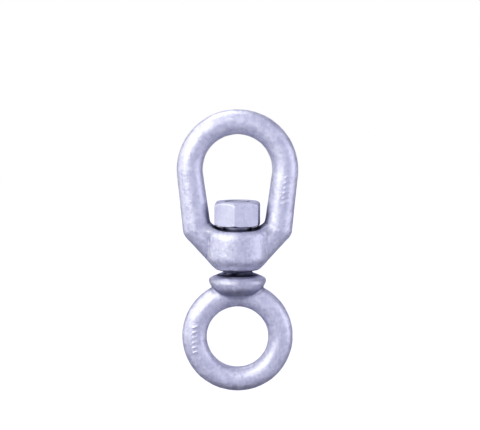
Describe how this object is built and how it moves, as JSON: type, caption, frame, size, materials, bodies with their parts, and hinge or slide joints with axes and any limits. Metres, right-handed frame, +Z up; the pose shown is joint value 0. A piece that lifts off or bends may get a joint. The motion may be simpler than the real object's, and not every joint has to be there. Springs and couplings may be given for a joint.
{
  "type": "anchor swivel",
  "caption": "Eye-and-eye swivel for chain: a pear-shaped bow whose bored collar turns on the shank of a round ring eye, held by a hex nut.",
  "frame": {"origin": "centre of the bow's crown arc, on the swivel axis, in the opening where a shackle or link goes through", "axes": "+Z up the swivel axis from the ring to the crown, +X across the bow and the ring at rest, and -Y is the front"},
  "size_m": [0.0758, 0.0396, 0.1774],
  "materials": {
    "galvanised_forging": "hot-dip galvanised forging, satin",
    "galvanised_nut": "hot-dip galvanised, dull satin",
    "spring_steel": "plain spring steel, dull"
  },
  "bodies": {
    "bow_body": {"bow": "galvanised_forging"},
    "eye_body": {"eye": "galvanised_forging", "nut": "galvanised_nut", "lock_pin": "spring_steel"}
  },
  "joints": [
    {"name": "swivel_spin", "type": "hinge", "parent": "bow_body", "child": "eye_body", "pos_m": [0, 0, -0.05025], "axis": [0, 0, 1], "continuous": true}
  ]
}
